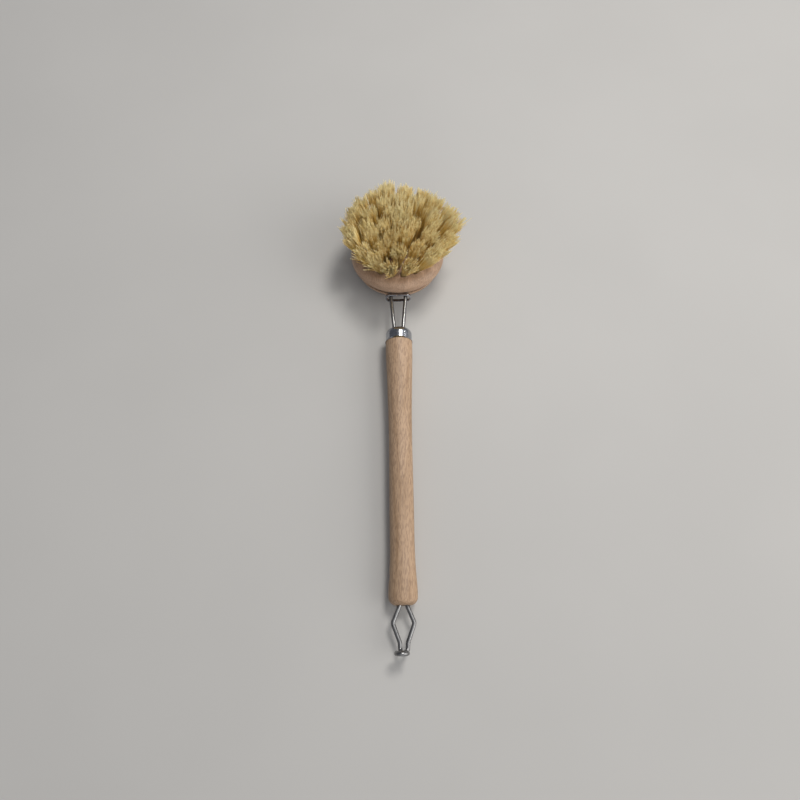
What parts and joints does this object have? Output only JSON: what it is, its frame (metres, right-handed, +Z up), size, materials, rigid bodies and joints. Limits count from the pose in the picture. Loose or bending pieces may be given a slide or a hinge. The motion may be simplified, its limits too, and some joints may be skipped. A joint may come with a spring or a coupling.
{
  "type": "dish brush",
  "caption": "Long-handled wooden dish brush with a round exchangeable bristle head held in a wire clamp, a sliding locking ring and a wire hanging hook.",
  "frame": {"origin": "centre of the footprint of the brush as it lies on its back, on the surface that it rests on", "axes": "+Y along the brush from the hanging hook to the head, +Z up on the bristle side, +X to the right"},
  "size_m": [0.0652, 0.238, 0.0413],
  "materials": {
    "handle_wood": "raw turned beech",
    "head_wood": "raw turned beech",
    "plated_cap": "bright plated",
    "spring_wire": "drawn and plated spring wire",
    "plated_strip": "bright plated strip",
    "fibre": "stiff plant fibre",
    "anchor_metal": "plain flat wire"
  },
  "bodies": {
    "handle_body": {"handle": "handle_wood", "ferrule": "plated_cap", "hanging_hook": "spring_wire"},
    "lock": {"lock_ring": "plated_strip"},
    "left_arm": {"left_clamp_arm": "spring_wire"},
    "right_arm": {"right_clamp_arm": "spring_wire"},
    "head": {"head_block": "head_wood", "tuft_centre": "fibre", "tuft_inner_01": "fibre", "tuft_inner_02": "fibre", "tuft_inner_03": "fibre", "tuft_inner_04": "fibre", "tuft_inner_05": "fibre", "tuft_inner_06": "fibre", "tuft_middle_01": "fibre", "tuft_middle_02": "fibre", "tuft_middle_03": "fibre", "tuft_middle_04": "fibre", "tuft_middle_05": "fibre", "tuft_middle_06": "fibre", "tuft_middle_07": "fibre", "tuft_middle_08": "fibre", "tuft_middle_09": "fibre", "tuft_middle_10": "fibre", "tuft_middle_11": "fibre", "tuft_middle_12": "fibre", "tuft_outer_01": "fibre", "tuft_outer_02": "fibre", "tuft_outer_03": "fibre", "tuft_outer_04": "fibre", "tuft_outer_05": "fibre", "tuft_outer_06": "fibre", "tuft_outer_07": "fibre", "tuft_outer_08": "fibre", "tuft_outer_09": "fibre", "tuft_outer_10": "fibre", "tuft_outer_11": "fibre", "tuft_outer_12": "fibre", "tuft_outer_13": "fibre", "tuft_outer_14": "fibre", "tuft_outer_15": "fibre", "tuft_outer_16": "fibre", "tuft_outer_17": "fibre", "tuft_outer_18": "fibre", "anchors_centre": "anchor_metal", "anchors_inner": "anchor_metal", "anchors_middle": "anchor_metal", "anchors_outer": "anchor_metal"}
  },
  "joints": [
    {"name": "lock_slide", "type": "slide", "parent": "handle_body", "child": "lock", "axis": [0, -0.9997, -0.023], "range_m": [0, 0.013]},
    {"name": "left_arm_open", "type": "hinge", "parent": "handle_body", "child": "left_arm", "pos_m": [-0.00215, 0.03859, 0.00965], "axis": [0, 0.1268, 0.9919], "range_deg": [0, 6.6]},
    {"name": "right_arm_open", "type": "hinge", "parent": "handle_body", "child": "right_arm", "pos_m": [0.00215, 0.03859, 0.00965], "axis": [0, -0.1268, -0.9919], "range_deg": [0, 6.6]},
    {"name": "head_spin", "type": "hinge", "parent": "handle_body", "child": "head", "pos_m": [0, 0.08363, 0.00683], "axis": [0, 0.1268, 0.9919], "continuous": true}
  ],
  "couplings": [
    {"joint": "left_arm_open", "follows": "lock_slide", "rad_per_m": 8.7266},
    {"joint": "right_arm_open", "follows": "lock_slide", "rad_per_m": 8.7266}
  ]
}
